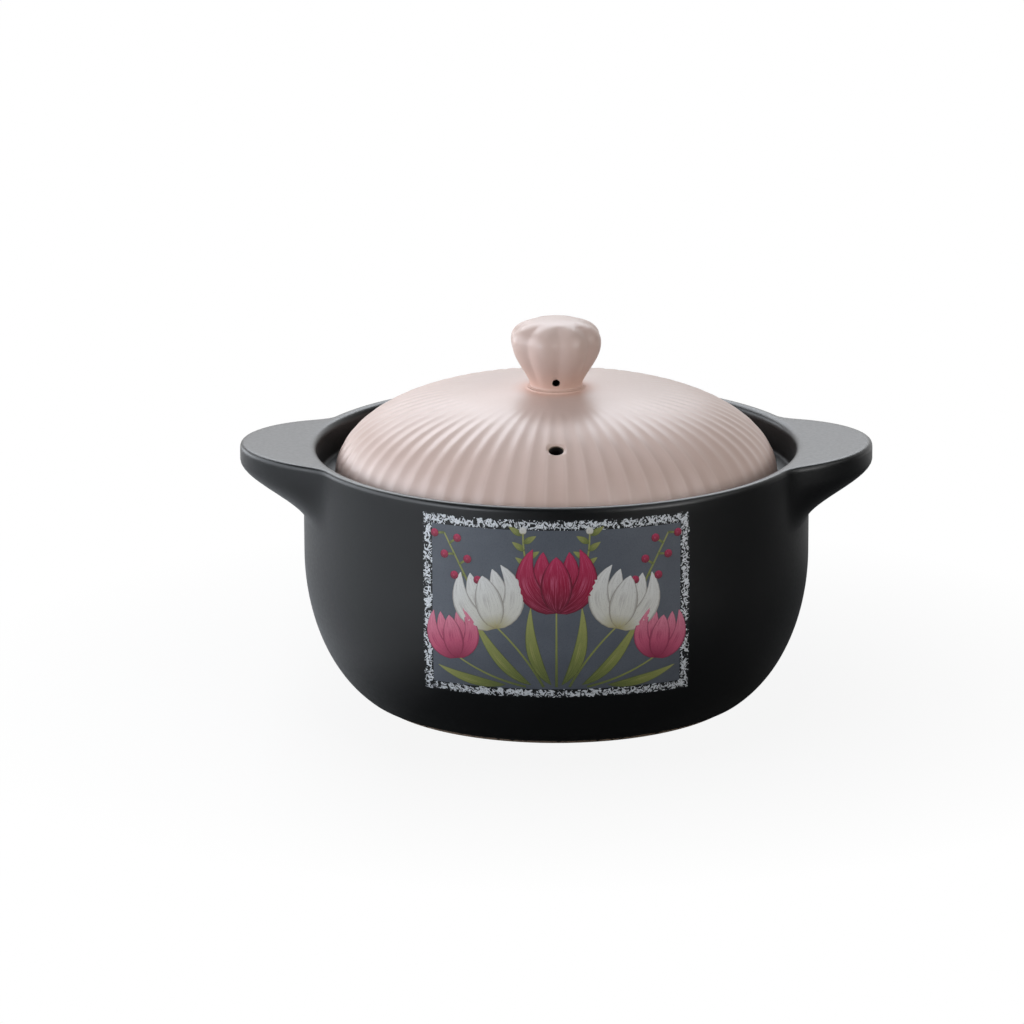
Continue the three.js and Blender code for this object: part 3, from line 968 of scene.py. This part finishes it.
def knob_rings():
    bore = KNOB_NECK_RADIUS - KNOB_THICKNESS
    bead_top = KNOB_SEAT + KNOB_BEAD_HEIGHT
    hollow = knob_side(KNOB_THICKNESS, HOLLOW_FLARE_RINGS, HOLLOW_CROWN_RINGS)
    rings = [ring(*spot) for spot in reversed(hollow)]
    rings += rounded(
        [
            (ring(bore, bead_top), 0),
            (ring(bore, KNOB_SEAT), KNOB_BEAD_HEIGHT / 3),
            # Painted bounce light as a warmer pool on the bead
            (ring(KNOB_BEAD_RADIUS, KNOB_SEAT, POOLED_AND_SHADED), KNOB_BEAD_HEIGHT / 2),
            (ring(KNOB_BEAD_RADIUS, bead_top, POOLED_AND_SHADED), KNOB_BEAD_HEIGHT / 2),
            (ring(KNOB_NECK_RADIUS, bead_top), 0),
        ],
        KNOB_COLUMNS,
    )[1:-1]
    return rings + lobed_rings()


knob = turned_piece("glazed_knob", knob_rings(), KNOB_COLUMNS, PINK_GLAZE)
knob_radii, knob_heights = knob_side(0, FLARE_RINGS, CROWN_RINGS).T
knob_vent_out = np.interp(KNOB_SEAT + KNOB_VENT_HEIGHT, knob_heights, knob_radii)
knob_vent_place = Vector((0, -knob_vent_out, KNOB_SEAT + KNOB_VENT_HEIGHT))
drill(knob, KNOB_VENT_RADIUS, KNOB_VENT_LIP, 2 * KNOB_THICKNESS, knob_vent_place, Vector((0, -1, 0)))
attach(knob, "lid")
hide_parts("knob")


# Transfer: films that follow the front wall

wall_heights = np.linspace(TRANSFER_BOTTOM, TRANSFER_TOP, WALL_SAMPLES)
wall_radii = wall_radius(wall_heights)
wall_steps = np.hypot(np.diff(wall_heights), np.diff(wall_radii))
wall_lengths = np.concatenate([[0], np.cumsum(wall_steps)])
wall_slope = np.gradient(wall_radii, wall_heights)
TRANSFER_RISE = wall_lengths[-1]


def on_wall(across, up, lift):
    """Points on the front wall, by lengths across and up the transfer and a lift off the glaze."""
    height = np.interp(up, wall_lengths, wall_heights)
    radius = np.interp(up, wall_lengths, wall_radii)
    slope = np.interp(up, wall_lengths, wall_slope)
    angle = across / radius
    outward = lift / np.hypot(1, slope)
    radius = radius + outward
    height = height - outward * slope
    return np.stack([radius * np.sin(angle), -radius * np.cos(angle), height], axis=-1)


def film_piece(name, patches, material, closed=False):
    """One film made of patches. A patch is a grid of points and of their texture places."""
    vertices = []
    uvs = []
    faces = []
    start = 0
    for points, places in patches:
        rows, columns = points.shape[:2]
        vertices.append(points.reshape(-1, 3))
        uvs.append(places.reshape(-1, 2))
        for row in range(rows - 1):
            for column in range(columns if closed else columns - 1):
                here = start + row * columns + column
                beside = start + row * columns + (column + 1) % columns
                faces.append((here, beside, beside + columns, here + columns))
        start += rows * columns
    piece = new_piece(name, np.concatenate(vertices), faces, material)
    uvs = np.concatenate(uvs)
    corner = np.zeros(len(piece.data.loops), np.int32)
    piece.data.loops.foreach_get("vertex_index", corner)
    layer = piece.data.uv_layers.new(name="UVMap")
    layer.data.foreach_set("uv", uvs[corner].astype(np.float32).ravel())
    thicken = piece.modifiers.new("film", "SOLIDIFY")
    thicken.thickness = FILM_THICKNESS
    thicken.offset = -1
    apply_modifiers(piece)
    piece.data.set_sharp_from_angle(angle=FILM_EDGE_ANGLE)
    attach(piece, "pot")
    return piece


def ground_patch():
    half = TRANSFER_HALF_ARC - BORDER_WIDTH
    columns = np.linspace(-half, half, GROUND_COLUMNS)
    rows = np.linspace(BORDER_WIDTH, TRANSFER_RISE - BORDER_WIDTH, GROUND_ROWS)
    across, up = np.meshgrid(columns, rows)
    return on_wall(across, up, GROUND_LIFT), np.stack([across, up], axis=-1)


def border_patch():
    """A closed strip round the ground, from the outer edge in."""
    shares = np.linspace(0, 1, BORDER_ROWS)
    steps = np.linspace(0, 1, BORDER_SIDE_POINTS)[:-1]
    rows = []
    for inset in BORDER_WIDTH * shares:
        half = TRANSFER_HALF_ARC - inset
        high = TRANSFER_RISE - inset
        corners = [(-half, inset), (half, inset), (half, high), (-half, high)]
        loop = []
        for index, corner in enumerate(corners):
            following = corners[(index + 1) % len(corners)]
            loop.append(np.outer(1 - steps, corner) + np.outer(steps, following))
        rows.append(np.concatenate(loop))
    spots = np.array(rows)
    places = np.zeros_like(spots)
    places[:, :, 0] = np.linspace(0, 1, spots.shape[1])
    places[:, :, 1] = shares[:, None]
    return on_wall(spots[:, :, 0], spots[:, :, 1], BORDER_LIFT), places


ground = film_piece("transfer_ground", [ground_patch()], SLATE_FILM)
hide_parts("transfer_panel")
border = film_piece("transfer_speckle", [border_patch()], SPECKLE_FILM, closed=True)
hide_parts("transfer_border")


# Motifs on the ground: a posy of tulips with berry sprigs, the same on both sides

def stroke(start, bend, end, half_width, lift, steps=STROKE_STEPS, sides=STROKE_SIDES):
    """A brush stroke along a bent line, in millimetres from the middle of the ground's foot.

    Its half width is given for each share of its length.
    """
    share = np.linspace(0, 1, steps + 1)[:, None]
    line = (1 - share) ** 2 * start + 2 * share * (1 - share) * bend + share**2 * end
    along = 2 * (1 - share) * (bend - start) + 2 * share * (end - bend)
    along = along / np.linalg.norm(along, axis=1, keepdims=True)
    right = np.stack([along[:, 1], -along[:, 0]], axis=1)
    side = np.linspace(-1, 1, sides + 1)
    width = half_width(share)
    spots = line[:, None, :] + (width * side[None, :])[:, :, None] * right[:, None, :]
    raised = lift + MOTIF_CROWN * (1 - side**2)[None, :] * np.ones_like(share)
    across = spots[:, :, 0] * MILLIMETRE
    up = BORDER_WIDTH + spots[:, :, 1] * MILLIMETRE
    places = np.stack(np.broadcast_arrays((side[None, :] + 1) / 2, share), axis=-1)
    return on_wall(across, up, raised), places


def swelling(half, root, lean, power):
    """A half width that swells from a narrow root and closes again at the tip."""
    return lambda share: half * (root + (1 - root) * np.sin(np.pi * share**lean) ** power)


def petal_width(half):
    return swelling(half, root=0.04, lean=0.82, power=0.75)


def leaf_width(half):
    return swelling(half, root=0.05, lean=0.9, power=0.9)


def stem_width(share):
    return STEM_HALF_WIDTH * (1 - STEM_TAPER * share)


def round_width(half, root=0.05):
    """A half width that follows a circle, from a narrow root."""
    return lambda share: half * (root + (1 - root) * np.sqrt(np.clip(1 - (2 * share - 1) ** 2, 0, 1)))


def point(across, up):
    return np.array([across, up], float)


def turned_point(base, lean, x, y):
    return base + point(x * math.cos(lean) + y * math.sin(lean), y * math.cos(lean) - x * math.sin(lean))


def mirrored(side, line):
    """The points of a line on the right, for a side of 1, or on the left, for a side of -1."""
    return [point(side * across, up) for across, up in line]


def tulip(side, foot, lean, width, height):
    """Petals of a flower seen from the side: two behind, two at the sides and one in front."""
    (base,) = mirrored(side, [foot])
    petals = []
    for line, half, layer, flips in PETALS:
        for flip in flips:
            spots = [turned_point(base, side * lean, flip * x * width, y * height) for x, y in line]
            petals.append(stroke(*spots, petal_width(half * width), MOTIF_LIFT + layer * MOTIF_LAYER))
    return petals


def leaf(start, bend, end, half):
    return stroke(start, bend, end, leaf_width(half), MOTIF_LIFT)


def stem(start, bend, end):
    return stroke(start, bend, end, stem_width, MOTIF_LIFT, STEM_STEPS, STEM_SIDES)


def berry(middle, half):
    foot = middle - point(0, half)
    top = middle + point(0, half)
    return stroke(foot, middle, top, round_width(half), MOTIF_LIFT + BERRY_LAYER * MOTIF_LAYER, BERRY_STEPS)


def sprig(side, foot, run, first_share, inward, outward):
    """Places along a sprig, each with the step to what it bears there, in and out by turns."""
    borne = []
    for count, share in enumerate(np.linspace(first_share, 1, SPRIG_COUNT)):
        place = (foot[0] + run[0] * share, foot[1] + run[1] * share)
        borne.append(mirrored(side, [place, outward if count % 2 else inward]))
    return borne


leaves = [stem(*mirrored(1, MIDDLE_STEM))]
white_strokes = []
pink_strokes = []
crimson_strokes = tulip(1, *MIDDLE_TULIP)
for side in (-1, 1):
    leaves += [stem(*mirrored(side, line)) for line in TULIP_STEMS]
    leaves += [leaf(*mirrored(side, line), half) for line, half in LEAVES]
    white_strokes += tulip(side, *WHITE_TULIP)
    pink_strokes += tulip(side, *PINK_TULIP)
    leaves += [stem(*mirrored(side, line)) for line in SPRIG_STEMS]
    for spot, step in sprig(side, *BERRY_SPRIG):
        crimson_strokes.append(berry(spot + step, BERRY_HALF_WIDTH))
        leaves.append(stem(spot, spot + step / 2, spot + step))
    for spot, step in sprig(side, *LEAF_SPRIG):
        leaves.append(leaf(spot, spot + step * SPRIG_LEAF_BEND, spot + step, SPRIG_LEAF_HALF_WIDTH))
    white_strokes.append(berry(*mirrored(side, [BUD]), BUD_HALF_WIDTH))

film_piece("motif_leaves", leaves, LEAF_ENAMEL)
film_piece("motif_white", white_strokes, WHITE_ENAMEL)
film_piece("motif_pink", pink_strokes, PINK_ENAMEL)
film_piece("motif_crimson", crimson_strokes, CRIMSON_ENAMEL)


# Floor, lights and camera

def backdrop_share(tree, behind):
    """Where the white backdrop shows: all round to the eye, and behind the pot in gloss."""
    path = node(tree, "ShaderNodeLightPath", {})
    gloss = maths(tree, "MAXIMUM", path.outputs["Is Glossy Ray"], path.outputs["Is Transmission Ray"])
    return maths(tree, "MAXIMUM", path.outputs["Is Camera Ray"], maths(tree, "MULTIPLY", gloss, behind))


def floor_material():
    """White to the eye apart from the pot's shadow, and to the light a dark board with a pale card."""
    material, tree, shader = new_material("floor_board")
    place = object_place(tree)
    across = part(tree, place, "X")
    back = part(tree, place, "Y")
    grain = noise(tree, place, BOARD_SCALE, 2)
    board = ramp(tree, grain, [(NOISE_LOW, BOARD_DARK), (NOISE_HIGH, BOARD_PALE)])
    right = span(tree, across, CARD_RIGHT_EDGE)
    left = span(tree, across, CARD_LEFT_EDGE, (1, 0))
    fading = span(tree, back, CARD_BACK, (1, CARD_BACK_SHARE))
    card = maths(tree, "MULTIPLY", maths(tree, "MULTIPLY", right, left), fading)
    tree.links.new(blend(tree, card, board, CARD_PALE), shader.inputs["Base Color"])
    shader.inputs["Roughness"].default_value = BOARD_ROUGHNESS
    shine = node(tree, "ShaderNodeEmission", {"Color": WHITE, "Strength": 1.0})
    seen = backdrop_share(tree, span(tree, back, FLOOR_BACKDROP, (0, BACKDROP_IN_GLOSS)))
    away = node(tree, "ShaderNodeVectorMath", {0: place}, operation="LENGTH").outputs["Value"]
    share = maths(tree, "MULTIPLY", seen, span(tree, away, SHADOW_RANGE, (SHADOW_SHARE, 1)))
    surfaces = {0: share, 1: shader.outputs["BSDF"], 2: shine.outputs["Emission"]}
    mixed = node(tree, "ShaderNodeMixShader", surfaces)
    tree.links.new(mixed.outputs["Shader"], tree.nodes["Material Output"].inputs["Surface"])
    return material


def floor_rings():
    under = -STAGE_GAP - STAGE_THICKNESS
    outline = [(0, under), (STAGE_RADIUS, under), (STAGE_RADIUS, -STAGE_GAP), (0, -STAGE_GAP)]
    return [ring(*spot) for spot in outline]


floor = turned_piece("floor", floor_rings(), FLOOR_COLUMNS, floor_material())


def add_lamp(name, place, width, height, power, colour):
    light = bpy.data.lights.new(name, "AREA")
    light.shape = "RECTANGLE"
    light.size = width
    light.size_y = height
    light.energy = power
    light.color = colour
    lamp = bpy.data.objects.new(name, light)
    lamp.location = place
    lamp.rotation_euler = (LAMP_AIM - Vector(place)).to_track_quat("-Z", "Y").to_euler()
    bpy.context.scene.collection.objects.link(lamp)


def studio_world():
    """White to the eye, and to the light a faint glow that grows towards the back."""
    world = bpy.data.worlds.new("studio")
    world.use_nodes = True
    tree = world.node_tree
    back = part(tree, node(tree, "ShaderNodeTexCoord", {}).outputs["Generated"], "Y")
    glow = span(tree, back, SKY_GLOW_RANGE, SKY_GLOW)
    seen = backdrop_share(tree, span(tree, back, SKY_BACKDROP, (0, BACKDROP_IN_GLOSS)))
    background = tree.nodes["Background"]
    background.inputs["Color"].default_value = WHITE
    tree.links.new(maths(tree, "MAXIMUM", glow, seen), background.inputs["Strength"])
    return world


def studio_camera():
    data = bpy.data.cameras.new("camera")
    data.sensor_width = CAMERA_SENSOR
    data.lens = CAMERA_LENS
    data.clip_start = CAMERA_CLIP_START
    camera = bpy.data.objects.new("camera", data)
    back = Vector((0, -math.cos(CAMERA_ELEVATION), math.sin(CAMERA_ELEVATION)))
    camera.location = CAMERA_TARGET + CAMERA_DISTANCE * back
    look = (CAMERA_AIM - camera.location).to_track_quat("-Z", "Y")
    camera.rotation_euler = (look @ Quaternion((0, 0, 1), CAMERA_ROLL)).to_euler()
    bpy.context.scene.collection.objects.link(camera)
    return camera


for lamp in LAMPS:
    add_lamp(*lamp)
bpy.context.scene.world = studio_world()
bpy.context.scene.camera = studio_camera()
bpy.context.scene.view_settings.view_transform = "Standard"
